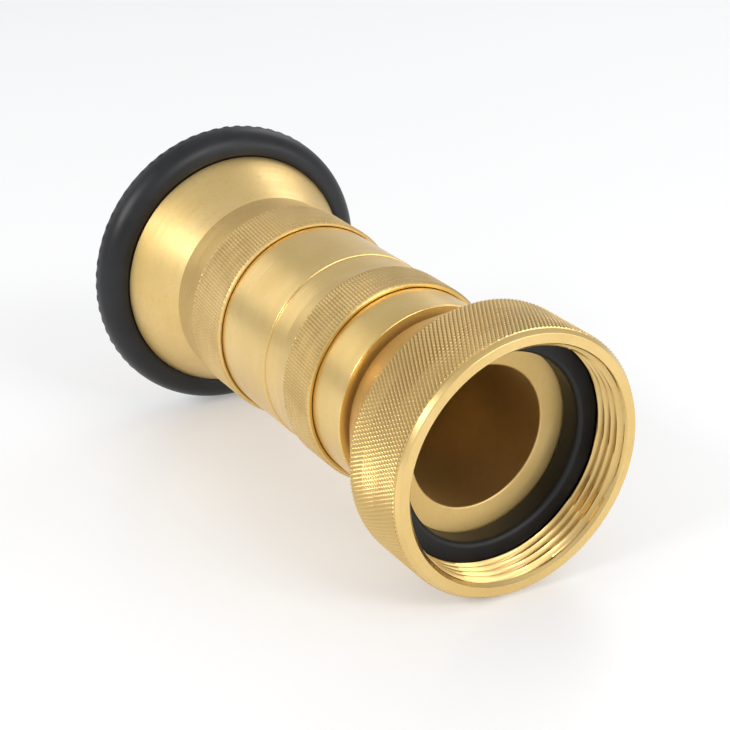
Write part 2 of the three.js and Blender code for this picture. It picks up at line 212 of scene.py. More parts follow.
def revolve(name, rows, closed=True):
    """A surface of revolution. A row is (radius, station, facets, wave), and wave gives the radius's change
    and the groove's share there, which brass turns into painted shade mixed with tarnish, both as functions
    of the angle. Outer rows run along +Y."""
    vertices = []
    grooves = []
    starts = []
    for radius, station, count, wave in rows:
        starts.append((len(vertices), 1 if radius <= 0 else count))
        if radius <= 0:
            vertices.append((0.0, station * MM, 0.0))
            grooves.append(0.0)
            continue
        angles, cosines, sines = ring_points(count)
        change, groove = wave(angles, station) if wave else (0.0 * angles, 0.0 * angles)
        reach = (radius + change) * MM
        vertices += list(zip(reach * cosines, np.full(count, station * MM), reach * sines))
        grooves += list(groove)
    faces = []
    last = len(rows) if closed else len(rows) - 1
    for i in range(last):
        first, first_count = starts[i]
        second, second_count = starts[(i + 1) % len(rows)]
        bridge(first, first_count, second, second_count, faces)
    piece = link_mesh(name, vertices, faces)
    layer = piece.data.attributes.new("groove", "FLOAT", "POINT")
    layer.data.foreach_set("value", grooves)
    return piece


def triangle_wave(phase):
    """0 in a valley and 1 on a crest, once for each whole phase."""
    return np.abs(2 * (phase - np.floor(phase)) - 1)


def turn(name, items, facets=AROUND, steps=4):
    """A turned piece from the items of its profile."""
    return revolve(name, profile(items, facets, steps))


def seal(name, node, section):
    """An O-ring of round section in the middle of its CAD node's place."""
    low, high, outer = node_span(node)
    middle = (low + high) / 2
    rows = []
    for i in range(20):
        angle = 2 * math.pi * i / 20
        radius = outer - section + section * math.cos(angle)
        rows.append((radius, middle + section * math.sin(angle), AROUND, None))
    return revolve(name, rows)


def block(name, centre, size):
    """A box to cut with or to build a casting from, in millimetres."""
    centre = Vector(centre) * MM
    half = Vector(size) * MM / 2
    signs = [(x, y, z) for x in (-1, 1) for y in (-1, 1) for z in (-1, 1)]
    corners = [centre + Vector((half.x * x, half.y * y, half.z * z)) for x, y, z in signs]
    sides = [(0, 1, 3, 2), (4, 6, 7, 5), (0, 4, 5, 1), (2, 3, 7, 6), (0, 2, 6, 4), (1, 5, 7, 3)]
    return link_mesh(name, [tuple(c) for c in corners], sides)


def apply_modifiers(piece):
    depsgraph = bpy.context.evaluated_depsgraph_get()
    piece.data = bpy.data.meshes.new_from_object(piece.evaluated_get(depsgraph))
    piece.modifiers.clear()


def carve(piece, tool):
    """Cuts a tool's volume out of a piece, then removes the tool."""
    cutter = piece.modifiers.new("cut", "BOOLEAN")
    cutter.object = tool
    cutter.solver = "EXACT"
    apply_modifiers(piece)
    bpy.data.objects.remove(tool)


def merge(piece, *others):
    """Adds the others' shells to a piece's mesh."""
    vertices = [v.co.copy() for v in piece.data.vertices]
    faces = [tuple(p.vertices) for p in piece.data.polygons]
    for other in others:
        first = len(vertices)
        vertices += [v.co.copy() for v in other.data.vertices]
        faces += [tuple(first + v for v in p.vertices) for p in other.data.polygons]
        bpy.data.objects.remove(other)
    mesh = bpy.data.meshes.new(piece.name)
    mesh.from_pydata([tuple(v) for v in vertices], [], faces)
    piece.data = mesh


def add_flat_groove(piece):
    """The groove attribute that brass reads, empty."""
    piece.data.attributes.new("groove", "FLOAT", "POINT")


def place(piece, body, slot, material, *nodes):
    """Gives a piece its material, seats it on a body, and lets it stand for CAD nodes. The slot is not used.
    """
    shade(piece)
    piece.data.materials.append(material)
    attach(piece, body)
    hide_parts(*nodes)
    return piece


# ---------------------------------------------------------------- materials


class Nodes:
    """Short names for building one material's node tree."""

    def __init__(self, name, **sockets):
        self.material = bpy.data.materials.new(name)
        self.material.use_nodes = True
        self.tree = self.material.node_tree
        self.shader = self.tree.nodes["Principled BSDF"]
        for socket, value in sockets.items():
            self.shader.inputs[socket.replace("_", " ")].default_value = value

    def add(self, kind, **settings):
        node = self.tree.nodes.new(kind)
        for key, value in settings.items():
            setattr(node, key, value)
        return node

    def join(self, output, target):
        self.tree.links.new(output, target)

    def math(self, operation, first, second=None, clamp=False):
        node = self.add("ShaderNodeMath", operation=operation, use_clamp=clamp)
        for socket, value in zip(node.inputs, (first, second)):
            if value is None:
                continue
            if isinstance(value, (int, float)):
                socket.default_value = value
            else:
                self.join(value, socket)
        return node.outputs[0]

    def place_on_part(self):
        """Object coordinates, the distance that turning marks follow, and the radius from the axis."""
        coordinates = self.add("ShaderNodeTexCoord").outputs["Object"]
        split = self.add("ShaderNodeSeparateXYZ")
        self.join(coordinates, split.inputs[0])
        across = self.math("POWER", split.outputs["X"], 2.0)
        up = self.math("POWER", split.outputs["Z"], 2.0)
        radius = self.math("SQRT", self.math("ADD", across, up))
        return coordinates, self.math("ADD", radius, split.outputs["Y"]), radius

    def noise(self, coordinates, scale, detail=2.0, roughness=0.5, distortion=0.0):
        node = self.add("ShaderNodeTexNoise")
        node.inputs["Scale"].default_value = scale
        node.inputs["Detail"].default_value = detail
        node.inputs["Roughness"].default_value = roughness
        node.inputs["Distortion"].default_value = distortion
        self.join(coordinates, node.inputs["Vector"])
        return node.outputs["Fac"]

    def line_noise(self, distance, scale, detail=2.0):
        """Noise along one distance only, as turning marks are."""
        node = self.add("ShaderNodeTexNoise", noise_dimensions="1D")
        node.inputs["Scale"].default_value = scale
        node.inputs["Detail"].default_value = detail
        self.join(distance, node.inputs["W"])
        return node.outputs["Fac"]

    def between(self, value, low, high, from_low=0.3, from_high=0.7):
        node = self.add("ShaderNodeMapRange")
        node.inputs["From Min"].default_value = from_low
        node.inputs["From Max"].default_value = from_high
        node.inputs["To Min"].default_value = low
        node.inputs["To Max"].default_value = high
        self.join(value, node.inputs["Value"])
        return node.outputs["Result"]

    def mix(self, share, first, second):
        node = self.add("ShaderNodeMix", data_type="RGBA")
        values = {"Factor": share, "A": first, "B": second}
        for key, value in values.items():
            socket = node.inputs[key]
            if isinstance(value, (tuple, float)):
                socket.default_value = value
            else:
                self.join(value, socket)
        return node.outputs["Result"]

    def bump(self, height, strength, distance, normal=None):
        node = self.add("ShaderNodeBump")
        node.inputs["Strength"].default_value = strength
        node.inputs["Distance"].default_value = distance
        self.join(height, node.inputs["Height"])
        if normal is not None:
            self.join(normal, node.inputs["Normal"])
        return node.outputs["Normal"]


BORED_SMOOTH = 0.46  # roughness of the satin inside
BORED_ROUGH = 0.56


def brass(name, light, dark, tarnish_and_crease_shade, smooth, rough, marks, mottle, bored=None):
    """Brass: light and dark tones in soft patches, tarnish in specks, painted shade mixed with tarnish in
    the grooves, turning marks and a fine grain.
    Inside the bored radius, in metres, it's plain satin."""
    n = Nodes(name, Metallic=1.0)
    coordinates, distance, radius = n.place_on_part()
    patches = n.noise(coordinates, 45.0, 4.0, 0.55, 0.4)
    specks = n.noise(coordinates, 900.0, 3.0, 0.6)
    tone = n.mix(n.between(patches, 0.0, 1.0), light, dark)
    spotted = n.mix(n.between(specks, 0.0, mottle, 0.55, 0.8), tone, tarnish_and_crease_shade)
    # The groove attribute mixes the dark tarnish colour into knurl valleys and thread roots: partly tarnish,
    # partly painted shade in the creases.
    groove = n.add("ShaderNodeAttribute", attribute_name="groove").outputs["Fac"]
    n.join(n.mix(n.math("MULTIPLY", groove, 0.55), spotted, tarnish_and_crease_shade), n.shader.inputs["Base Color"])
    fine = n.line_noise(distance, 5200.0, 3.0)
    broad = n.line_noise(distance, 420.0, 2.0)
    sheen = n.math("MULTIPLY", n.math("ADD", broad, patches), 0.5)
    gloss = n.between(sheen, smooth, rough)
    if bored:
        outside = n.between(radius, 0.0, 1.0, bored, bored + 0.0004)
        satin = n.between(patches, BORED_SMOOTH, BORED_ROUGH)
        inner = n.math("MULTIPLY", n.math("SUBTRACT", 1.0, outside), satin)
        gloss = n.math("ADD", inner, n.math("MULTIPLY", outside, gloss))
        fine = n.math("MULTIPLY", fine, outside)
    n.join(gloss, n.shader.inputs["Roughness"])
    lines = n.bump(fine, marks, 0.00002)
    n.join(n.bump(specks, marks * 0.5, 0.00003, lines), n.shader.inputs["Normal"])
    return n.material


def rubber(name, color, dusty, smooth, rough, grain):
    """Moulded rubber: near black, with a little bloom and a soft grain."""
    n = Nodes(name, Metallic=0.0, Specular_IOR_Level=0.4)
    coordinates, _, _ = n.place_on_part()
    bloom = n.noise(coordinates, 70.0, 5.0, 0.6, 0.6)
    fine = n.noise(coordinates, 2600.0, 2.0)
    n.join(n.mix(n.between(bloom, 0.0, 1.0, 0.35, 0.8), color, dusty), n.shader.inputs["Base Color"])
    n.join(n.between(bloom, smooth, rough), n.shader.inputs["Roughness"])
    n.join(n.bump(fine, grain, 0.00004), n.shader.inputs["Normal"])
    return n.material


def steel(name, color, shaded, smooth, rough):
    """Machined steel with faint turning marks."""
    n = Nodes(name, Metallic=1.0)
    coordinates, distance, _ = n.place_on_part()
    cloud = n.noise(coordinates, 160.0, 3.0)
    n.join(n.mix(n.between(cloud, 0.0, 1.0), color, shaded), n.shader.inputs["Base Color"])
    n.join(n.between(n.line_noise(distance, 2600.0), smooth, rough), n.shader.inputs["Roughness"])
    n.join(n.bump(n.line_noise(distance, 4200.0), 0.15, 0.00002), n.shader.inputs["Normal"])
    return n.material


TURNED_LOOK = dict(
    light=(0.84, 0.61, 0.26, 1),
    dark=(0.75, 0.53, 0.2, 1),
    tarnish_and_crease_shade=(0.34, 0.19, 0.06, 1),
    smooth=0.24,
    rough=0.37,
    marks=0.14,
    mottle=0.12,
)
TURNED = brass("turned_brass", **TURNED_LOOK)
TUBE = brass("tube_brass", bored=0.0244, **TURNED_LOOK)
SATIN = brass(
    "satin_brass",
    light=(0.86, 0.63, 0.28, 1),
    dark=(0.77, 0.55, 0.21, 1),
    tarnish_and_crease_shade=(0.42, 0.26, 0.09, 1),
    smooth=0.36,
    rough=0.52,
    marks=0.1,
    mottle=0.25,
)
CAST = brass(
    "cast_brass",
    light=(0.66, 0.47, 0.2, 1),
    dark=(0.55, 0.37, 0.14, 1),
    tarnish_and_crease_shade=(0.26, 0.15, 0.05, 1),
    smooth=0.42,
    rough=0.6,
    marks=0.3,
    mottle=0.35,
)
STEEL = steel("stainless_steel", (0.7, 0.71, 0.72, 1), (0.58, 0.59, 0.61, 1), 0.22, 0.38)
BALL_STEEL = steel("ball_steel", (0.74, 0.75, 0.77, 1), (0.66, 0.67, 0.7, 1), 0.06, 0.12)
GASKET_RUBBER = rubber("gasket_rubber", (0.007, 0.007, 0.007, 1), (0.015, 0.015, 0.015, 1), 0.42, 0.55, 0.12)
BUMPER_RUBBER = rubber("bumper_rubber", (0.007, 0.007, 0.008, 1), (0.016, 0.017, 0.02, 1), 0.36, 0.46, 0.1)
SEAL_RUBBER = rubber("seal_rubber", (0.008, 0.008, 0.008, 1), (0.016, 0.016, 0.016, 1), 0.4, 0.55, 0.15)


# ---------------------------------------------------------------- knurls and threads

THREAD_PITCH = 2.309  # G 2 pipe thread
THREAD_CREST = 28.33
THREAD_ROOT = 29.75
MOUTH = 29.7
HEAD_LEAD = 8.0  # the head's screw thread has two starts
KNURL_LINES = 192
KNURL_SAMPLES = 6  # facets for each knurled line


def diamond_knurl(depth, tilt, radius):
    """Crossed V grooves at plus and minus tilt from the axis, one set deeper than the other."""
    shift = KNURL_LINES * math.tan(tilt) / (2 * math.pi * radius)

    def wave(angles, station):
        turns = angles * KNURL_LINES / (2 * math.pi)
        left = triangle_wave(turns + station * shift)
        right = 0.45 + 0.55 * triangle_wave(turns - station * shift)
        crest = np.minimum(left, right)
        return (crest - 1) * depth, 1 - crest

    return wave


def straight_knurl(depth, tilt, radius):
    """Ribs a little off the axis, broken into dashes by a faint crossing set."""
    shift = KNURL_LINES / (2 * math.pi * radius)

    def wave(angles, station):
        turns = angles * KNURL_LINES / (2 * math.pi)
        ribs = triangle_wave(turns + station * shift * math.tan(tilt))
        cross = triangle_wave(turns - station * shift * math.tan(4 * tilt))
        wear = 0.85 + 0.15 * np.sin(7 * angles + 0.9 * station) * np.sin(13 * angles - 0.5 * station)
        drop = np.maximum((1 - ribs) * wear, (1 - cross) * 0.45)
        return -drop * depth, np.clip(drop, 0, 1)

    return wave


def hose_thread(angles, station):
    """The radius's change from the crest on the coupling's threaded wall: a right-hand helix."""
    turn = station / THREAD_PITCH + angles / (2 * math.pi)
    height = np.clip(triangle_wave(turn) * 1.25 - 0.12, 0, 1)
    wall = THREAD_ROOT - (THREAD_ROOT - THREAD_CREST) * height
    chamfer = MOUTH - max(station, 0) * 0.75
    return np.maximum(wall, chamfer) - THREAD_CREST, 0.5 * (1 - height)


def screw_thread(depth):
    """Two-start thread between head and barrel: positive depth cuts outwards, negative inwards."""

    def wave(angles, station):
        turn = 2 * (station / HEAD_LEAD + angles / (2 * math.pi))
        valley = np.clip(1.6 * triangle_wave(turn) - 0.3, 0, 1)
        return depth * valley, 0.4 * valley

    return wave


def fine_thread(depth, pitch=1.5):
    """A single-start V thread: positive depth cuts outwards, negative inwards."""

    def wave(angles, station):
        valley = triangle_wave(station / pitch + angles / (2 * math.pi))
        return depth * valley, 0.4 * valley

    return wave


def waved(radius, start, end, spacing, facets, wave):
    """Rows of a knurled or threaded stretch, in either direction along the axis."""
    count = max(2, round(abs(end - start) / spacing))
    return [(radius, start + (end - start) * i / count, facets, wave) for i in range(count + 1)]


# ---------------------------------------------------------------- swivel coupling and its seals

GRIP_START = 1.5
GRIP_END = 19.5
RIM_FLAT = 32.0
NECK_HOLE = 21.6
DUST_GROOVE = (32.3, 34.6)  # a groove's first and last station
POCKET = 27.05  # radius and end of the space that holds the tail tube's flange
POCKET_END = 25.8
RACE_PITCH = 26.9  # radius of the circle of ball centres
RACE_STATION = 21.0
RACE_RADIUS = 3.3
PORT_ANGLE = -math.pi / 6
PORT_RADIUS = 3.1


def race(start, end):
    """Rows of the ball groove, between two angles of its section in degrees."""
    rows = []
    for i in range(13):
        angle = math.radians(start + (end - start) * i / 12)
        radius = RACE_PITCH + RACE_RADIUS * math.cos(angle)
        rows.append((radius, RACE_STATION + RACE_RADIUS * math.sin(angle), AROUND, None))
    return rows


def to_port(piece):
    """Turns a piece built along +Y so that it points out through the ball loading port."""
    outward = Matrix.Rotation(-math.pi / 2, 4, "Z")
    piece.data.transform(Matrix.Rotation(-PORT_ANGLE, 4, "Y") @ outward)
    piece.data.transform(Matrix.Translation((0, RACE_STATION * MM, 0)))
    return piece


def make_coupling_shell():
    grip = COUPLING_GRIP
    floor = GASKET_REAR + 0.3
    tilt = math.radians(30)
    spacing = 2 * math.pi * grip / KNURL_LINES / math.tan(tilt) / KNURL_SAMPLES
    knurl = diamond_knurl(0.5, tilt, grip)
    return turn(
        "coupling_shell",
        [
            (MOUTH, RIM_STATION, 0),
            (RIM_FLAT, RIM_STATION, 0.3),
            (grip - 0.45, GRIP_START - 0.3, 0.2),
            (grip - 0.5, GRIP_START - 0.1, 0),
            waved(grip + 0.05, GRIP_START, GRIP_END, spacing, FINE_AROUND, knurl),
            (grip - 0.5, GRIP_END + 0.2, 0),
            (23.1, COUPLING_REAR - 0.15, 0.3),
            (22.9, COUPLING_REAR, 0),
            (NECK_HOLE, COUPLING_REAR, 0.2),
            (NECK_HOLE, DUST_GROOVE[1], 0),
            (NECK_HOLE + 1.3, DUST_GROOVE[1], 0),
            (NECK_HOLE + 1.3, DUST_GROOVE[0], 0),
            (NECK_HOLE, DUST_GROOVE[0], 0),
            (NECK_HOLE, POCKET_END, 0.2),
            (POCKET, POCKET_END, 0.2),
            race(87, -87),
            (POCKET, floor, 0),
            (30.1, floor, 0.2),
            (30.1, GASKET_FRONT + 1.3, 0),
            waved(THREAD_CREST, GASKET_FRONT + 0.6, 0.12, THREAD_PITCH / 10, AROUND, hose_thread),
        ],
    )


def make_coupling():
    coupling = make_coupling_shell()
    port = turn("port", [(0, 28, 0), (PORT_RADIUS, 28, 0), (PORT_RADIUS, 36, 0), (0, 36, 0)], facets=48)
    carve(coupling, to_port(port))
    place(coupling, "coupling", "turned_brass", TURNED, "swivel_coupling")

    plug = turn(
        "port_plug",
        [(0, 30.3, 0), (2.85, 30.3, 0.1), (2.85, 32.1, 0.3), (0, 32.1, 0)],
        facets=48,
    )
    carve(plug, block("slot", (0, 32.1, 0), (8, 1.2, 0.8)))
    place(to_port(plug), "coupling", "turned_brass", TURNED, "ball_port_plug")

    gasket = turn(
        "gasket",
        [
            (23.5, GASKET_FRONT, 1.3),
            (28.2, GASKET_FRONT, 0.5),
            (GASKET_OUTER, GASKET_FRONT + 1.4, 0.4),
            (GASKET_OUTER, GASKET_REAR, 0.4),
            (23.5, GASKET_REAR, 0.4),
        ],
    )
    place(gasket, "coupling", "gasket_rubber", GASKET_RUBBER, "hose_gasket")
    place(seal("neck_dust_ring", "dust_ring", 0.8), "coupling", "seal_rubber", SEAL_RUBBER, "dust_ring")


def make_balls():
    radius = 3.0
    section = [math.pi * i / 20 for i in range(21)]
    profile = [(radius * math.sin(a), -radius * math.cos(a), 40, None) for a in section]
    profile[0] = (0, -radius, 1, None)
    profile[-1] = (0, radius, 1, None)
    for i in range(24):
        node = f"race_ball_{i + 1:02d}"
        ball = revolve(f"ball_{i + 1:02d}", profile)
        ball.data.transform(Matrix.Rotation(0.7 * i, 4, "X") @ Matrix.Rotation(1.3 * i, 4, "Z"))
        ball.data.transform(Matrix.Translation(node_centre(node)))
        place(ball, "ball_row", "ball_steel", BALL_STEEL, node)


# ---------------------------------------------------------------- tail tube and barrel

BORE = 17.75
NECK = 20.8
SHOULDER_FACE = 37.9
SHOULDER = 25.0
TAIL_GROOVE = (52.6, 54.8)
SPIGOT_START = 56.0
SPIGOT = 23.4


def make_tail_tube():
    tube = turn(
        "tail_tube_body",
        [
            (BORE, TAIL_FACE + 0.9, 0.5),
            (24.2, TAIL_FACE, 0.4),
            (FLANGE - 0.15, TAIL_FACE, 0.3),
            race(267, 93),
            (FLANGE, 25.5, 0.2),
            (NECK, 25.5, 0.4),
            (NECK, SHOULDER_FACE, 0.5),
            (SHOULDER, SHOULDER_FACE, 0.35),
            (SHOULDER, TAIL_GROOVE[0], 0.1),
            (SHOULDER - 1.5, TAIL_GROOVE[0], 0.2),
            (SHOULDER - 1.5, TAIL_GROOVE[1], 0.2),
            (SHOULDER, TAIL_GROOVE[1], 0.1),
            (SHOULDER, SPIGOT_START, 0.2),
            (SPIGOT, SPIGOT_START, 0.2),
            waved(SPIGOT, SPIGOT_START + 1.2, SPIGOT_END - 1.2, 0.25, AROUND, fine_thread(-0.55)),
            (SPIGOT - 0.6, SPIGOT_END, 0.1),
            (BORE, SPIGOT_END, 0.3),
        ],
    )
    place(tube, "nozzle_body", "turned_brass", TUBE, "tail_tube")
    ring = seal("tail_o_ring", "barrel_o_ring", 0.72)
    place(ring, "nozzle_body", "seal_rubber", SEAL_RUBBER, "barrel_o_ring")


SEAM = 0.14  # clearance that shows at the mouth of a fit
LAND = 26.05
LAND_START = 73.0
LAND_END = 101.0
LAND_GROOVE = (97.4, 99.8)
BARREL_SHOULDER = 77.6
BARREL_THREAD = 24.5
BARREL_BORE = 20.0


def make_barrel():
    crest = BARREL_KNURL
    knurl = straight_knurl(0.34, math.radians(6), crest)
    thread = screw_thread(-0.9)
    barrel = turn(
        "barrel_body",
        [
            (SHOULDER + SEAM, BARREL_REAR + 0.1, 0.1),
            (crest - 0.75, BARREL_REAR, 0.15),
            waved(crest, BARREL_REAR + 0.6, 61.9, 0.42, FINE_AROUND, knurl),
            (crest - 0.1, 62.05, 0.05),
            (crest - 0.25, 62.3, 0.1),
            (25.7, 66.5, 2.0),
            (25.7, LAND_START, 0.1),
            (LAND, LAND_START + 0.1, 0.25),
            (LAND, LAND_GROOVE[0], 0.1),
            (LAND - 1.75, LAND_GROOVE[0], 0.2),
            (LAND - 1.75, LAND_GROOVE[1], 0.2),
            (LAND, LAND_GROOVE[1], 0.1),
            (LAND, LAND_END, 0.3),
            (BARREL_THREAD - 0.9, LAND_END, 0.3),
            (BARREL_THREAD - 0.9, LAND_END + 2, 0.3),
            waved(BARREL_THREAD, LAND_END + 3, BARREL_FRONT - 1, 0.4, AROUND, thread),
            (BARREL_THREAD - 0.9, BARREL_FRONT, 0.2),
            (BARREL_BORE, BARREL_FRONT, 0.3),
            (BARREL_BORE, BARREL_SHOULDER, 0.3),
            (SPIGOT + 0.3, BARREL_SHOULDER, 0.2),
            (SPIGOT + 0.3, SPIGOT_START + 0.3, 0.1),
            (SHOULDER + SEAM, SPIGOT_START + 0.3, 0),
        ],
    )
    place(barrel, "nozzle_body", "turned_brass", TURNED, "barrel")
    ring = seal("land_seal", "land_o_ring", 0.8)
    place(ring, "nozzle_body", "seal_rubber", SEAL_RUBBER, "land_o_ring")


# ---------------------------------------------------------------- flow spider, stem and baffle

STEM = 4.0
STEM_HOLE = 4.3
HUB = 6.5


def make_spider():
    """A casting: ring, hub and three vanes melted into one skin with soft inside corners."""
    ring = turn(
        "spider",
        [
            (19.0, SPIDER_START + 2, 0),
            (SPIDER_RADIUS - 0.1, SPIDER_START + 2, 0),
            (SPIDER_RADIUS - 0.1, SPIDER_START + 7, 0),
            (19.0, SPIDER_START + 7, 0),
        ],
    )
    hub = turn(
        "hub",
        [
            (STEM_HOLE, SPIDER_START, 0),
            (HUB - 0.8, SPIDER_START, 0),
            (HUB, SPIDER_START + 1.5, 0),
            (HUB, SPIDER_END - 1.5, 0),
            (HUB - 0.8, SPIDER_END, 0),
            (STEM_HOLE, SPIDER_END, 0),
        ],
    )
    vanes = []
    for i in range(3):
        vane = block("vane", (0, SPIDER_START + 4.5, -(HUB + 21.0) / 2), (2.5, 4.8, 15.6))
        vane.data.transform(Matrix.Rotation(i * 2 * math.pi / 3, 4, "Y"))
        vanes.append(vane)
    merge(ring, hub, *vanes)
    skin = ring.modifiers.new("skin", "REMESH")
    skin.mode = "VOXEL"
    skin.voxel_size = 0.34 * MM
    soften = ring.modifiers.new("soften", "SMOOTH")
    soften.iterations = 5
    apply_modifiers(ring)
    add_flat_groove(ring)
    place(ring, "nozzle_body", "cast_brass", CAST, "flow_spider")


def make_stem():
    collar = 6.0
    rear = SPIDER_END + 0.3
    front = 130.0
    stem = turn(
        "stem",
        [
            (0, STEM_START, 0),
            (STEM - 0.5, STEM_START, 0.1),
            waved(STEM, STEM_START + 0.6, 68.0, 0.12, 64, fine_thread(-0.4, 1.0)),
            (STEM, 68.6, 0.1),
            (STEM, rear, 0),
            (collar, rear, 0.3),
            (collar, rear + 3, 0.3),
            (STEM, rear + 5, 1.0),
            (STEM, front - 2, 1.0),
            (collar, front, 0.3),
            (collar, front + 3, 0.3),
            (STEM, front + 3, 0.2),
            (STEM, STEM_END, 0.3),
            (2.4, STEM_END, 0.2),
            (2.4, STEM_END - 9, 0),
            (0, STEM_END - 10.2, 0),
        ],
        facets=64,
    )
    place(stem, "nozzle_body", "turned_brass", TURNED, "baffle_stem")


def make_stem_fixings():
    washer_low, washer_high, washer_outer = node_span("stem_washer")
    washer = turn(
        "washer",
        [
            (STEM_HOLE, washer_low, 0.15),
            (washer_outer, washer_low, 0.35),
            (washer_outer, washer_high, 0.35),
            (STEM_HOLE, washer_high, 0.15),
        ],
        facets=96,
    )
    place(washer, "nozzle_body", "stainless_steel", STEEL, "stem_washer")

    nut_low, nut_high, _ = node_span("stem_nut")
    place(hex_nut(nut_low, nut_high, 13.0), "nozzle_body", "stainless_steel", STEEL, "stem_nut")

    disc_low, disc_high, disc_outer = node_span("seal_retainer")
    disc = turn(
        "retainer_disc",
        [
            (STEM_HOLE, disc_low, 0.2),
            (disc_outer, disc_low, 0.4),
            (disc_outer, disc_high, 0.2),
            (STEM_HOLE, disc_high, 0.2),
        ],
        facets=144,
    )
    place(disc, "nozzle_body", "turned_brass", TURNED, "seal_retainer")


def hex_nut(low, high, flats):
    """A hexagon with its corners turned off by a cone at each end, and a threaded hole."""
    facets = 96
    angles, _, _ = ring_points(facets)
    from_flat = (angles + math.pi / 6) % (math.pi / 3) - math.pi / 6
    hexagon = flats / 2 / np.cos(from_flat)
    corner = flats / 2 / math.cos(math.pi / 6)

    def coned(station):
        depth = min(station - low, high - station)
        return np.minimum(hexagon, corner - 0.75 + 2.2 * depth)

    def wave(_, station):
        return coned(station), 0 * angles

    stations = [low, low + 0.1, low + 0.22, low + 0.35, high - 0.35, high - 0.22, high - 0.1, high]
    rows = [(1e-6, s, facets, wave) for s in stations]
    rows.append((4.9, high, facets, None))
    rows += waved(STEM_HOLE, high - 0.5, low + 0.5, 0.12, facets, fine_thread(0.4, 1.0))
    rows.append((4.9, low, facets, None))
    return revolve("nut", rows)


def make_baffle():
    seal_low, seal_high, seal_outer = node_span("baffle_seal")
    ring = turn(
        "seal_ring",
        [
            (8.0, seal_low, 0.2),
            (seal_outer - 2.4, seal_low, 0.35),
            (seal_outer, seal_high, 0.3),
            (8.0, seal_high, 0.2),
        ],
    )
    place(ring, "nozzle_body", "seal_rubber", SEAL_RUBBER, "baffle_seal")

    screw_head = 5.8
    seat = 139.0
    disc = turn(
        "baffle_disc",
        [
            (STEM_HOLE, BAFFLE_BACK, 0.2),
            (7.7, BAFFLE_BACK, 0.3),
            (7.7, seal_high + 0.3, 0.2),
            (15.7, seal_high + 0.3, 0.3),
            (BAFFLE_RADIUS, BAFFLE_FACE - 1.6, 1.2),
            (BAFFLE_RADIUS - 1.1, BAFFLE_FACE - 0.2, 0.4),
            (BAFFLE_RADIUS - 2.2, BAFFLE_FACE, 0.3),
            (12.0, BAFFLE_FACE, 0.2),
            (11.6, BAFFLE_FACE - 0.25, 0.1),
            (8.2, BAFFLE_FACE - 0.25, 0.1),
            (7.8, BAFFLE_FACE, 0.2),
            (screw_head + 0.6, BAFFLE_FACE, 0.2),
            (screw_head + 0.6, seat, 0.2),
            (STEM_HOLE, seat, 0.2),
        ],
    )
    place(disc, "nozzle_body", "turned_brass", TURNED, "baffle_head")

    low, high, _ = node_span("baffle_screw")
    screw = turn(
        "screw",
        [
            (0, low, 0),
            (1.6, low, 0),
            waved(2.0, low + 0.5, seat - 0.2, 0.12, 64, fine_thread(-0.3, 0.8)),
            (2.0, seat + 0.3, 0.1),
            (screw_head, seat + 0.3, 0.25),
            (screw_head, high - 0.9, 1.0),
            (screw_head - 1.6, high - 0.15, 1.5),
            (0, high, 0),
        ],
        facets=64,
    )
    carve(screw, block("slot", (0, high, 0), (1.3, 2.4, 14)))
    place(screw, "nozzle_body", "stainless_steel", STEEL, "baffle_screw")


# ---------------------------------------------------------------- head and bumper

SKIRT_BORE = 26.3
HEAD_KNURL = 27.3
HEAD_KNURL_END = 110.5
COLLAR_END = 121.0
CONE_END = 137.6
CONE_RADIUS = 33.2
HEAD_THREAD = 24.85
HEAD_GROOVE = (111.8, 113.4)
CHAMBER = 25.2
THROAT = 13.5
RIM_GROOVE = 31.9
RIM_START = 140.2
BELL_MOUTH = 31.4


def make_head():
    knurl = straight_knurl(0.34, math.radians(6), HEAD_KNURL)
    thread = screw_thread(0.9)
    head = turn(
        "head_body",
        [
            (LAND + SEAM, HEAD_REAR + 0.1, 0.1),
            (HEAD_KNURL - 0.65, HEAD_REAR, 0.15),
            waved(HEAD_KNURL, HEAD_REAR + 0.6, HEAD_KNURL_END, 0.42, FINE_AROUND, knurl),
            (HEAD_KNURL - 0.08, HEAD_KNURL_END + 0.2, 0.05),
            (HEAD_KNURL - 0.25, HEAD_KNURL_END + 0.45, 0.1),
            (26.45, 116.5, 12.0),
            (26.3, COLLAR_END, 0.5),
            (CONE_RADIUS, CONE_END, 0.15),
            (RIM_GROOVE, CONE_END + 0.5, 0.1),
            (RIM_GROOVE, RIM_START, 0.1),
            (BELL_RIM, RIM_START + 0.4, 0.2),
            (BELL_RIM, 146.2, 0.3),
            (BELL_MOUTH + 0.9, RIM_END, 0.3),
            (BELL_MOUTH, RIM_END, 0.3),
            (17.5, 139.0, 0.6),
            (THROAT, 135.0, 0.4),
            (THROAT, 134.4, 0.2),
            (CHAMBER, 132.0, 0.5),
            (CHAMBER, COLLAR_END + 1, 0),
            waved(HEAD_THREAD, COLLAR_END + 0.6, 114.2, 0.4, AROUND, thread),
            (HEAD_THREAD, HEAD_GROOVE[1], 0.1),
            (26.2, HEAD_GROOVE[1], 0.2),
            (26.2, HEAD_GROOVE[0], 0.2),
            (HEAD_THREAD, HEAD_GROOVE[0], 0.1),
            (HEAD_THREAD, 111.3, 0.1),
            (SKIRT_BORE, 111.3, 0.1),
            (SKIRT_BORE, HEAD_REAR + 2, 0.1),
            (LAND + SEAM, HEAD_REAR + 1.5, 0.1),
        ],
        steps=6,
    )
    place(head, "pattern_head", "satin_brass", SATIN, "head")
    ring = seal("thread_friction_ring", "friction_ring", 0.6)
    place(ring, "head_carrier", "seal_rubber", SEAL_RUBBER, "friction_ring")


TEETH = 72
BUMPER_CENTRE = 34.6
BUMPER_STATION = 143.0
TIP_STATION = 144.2
TIP_HEIGHT = 0.3
TIP_REACH = 1.1
GAP_STATION = 145.2
GAP_RUN = 2.2
GAP_DEPTH = 0.9


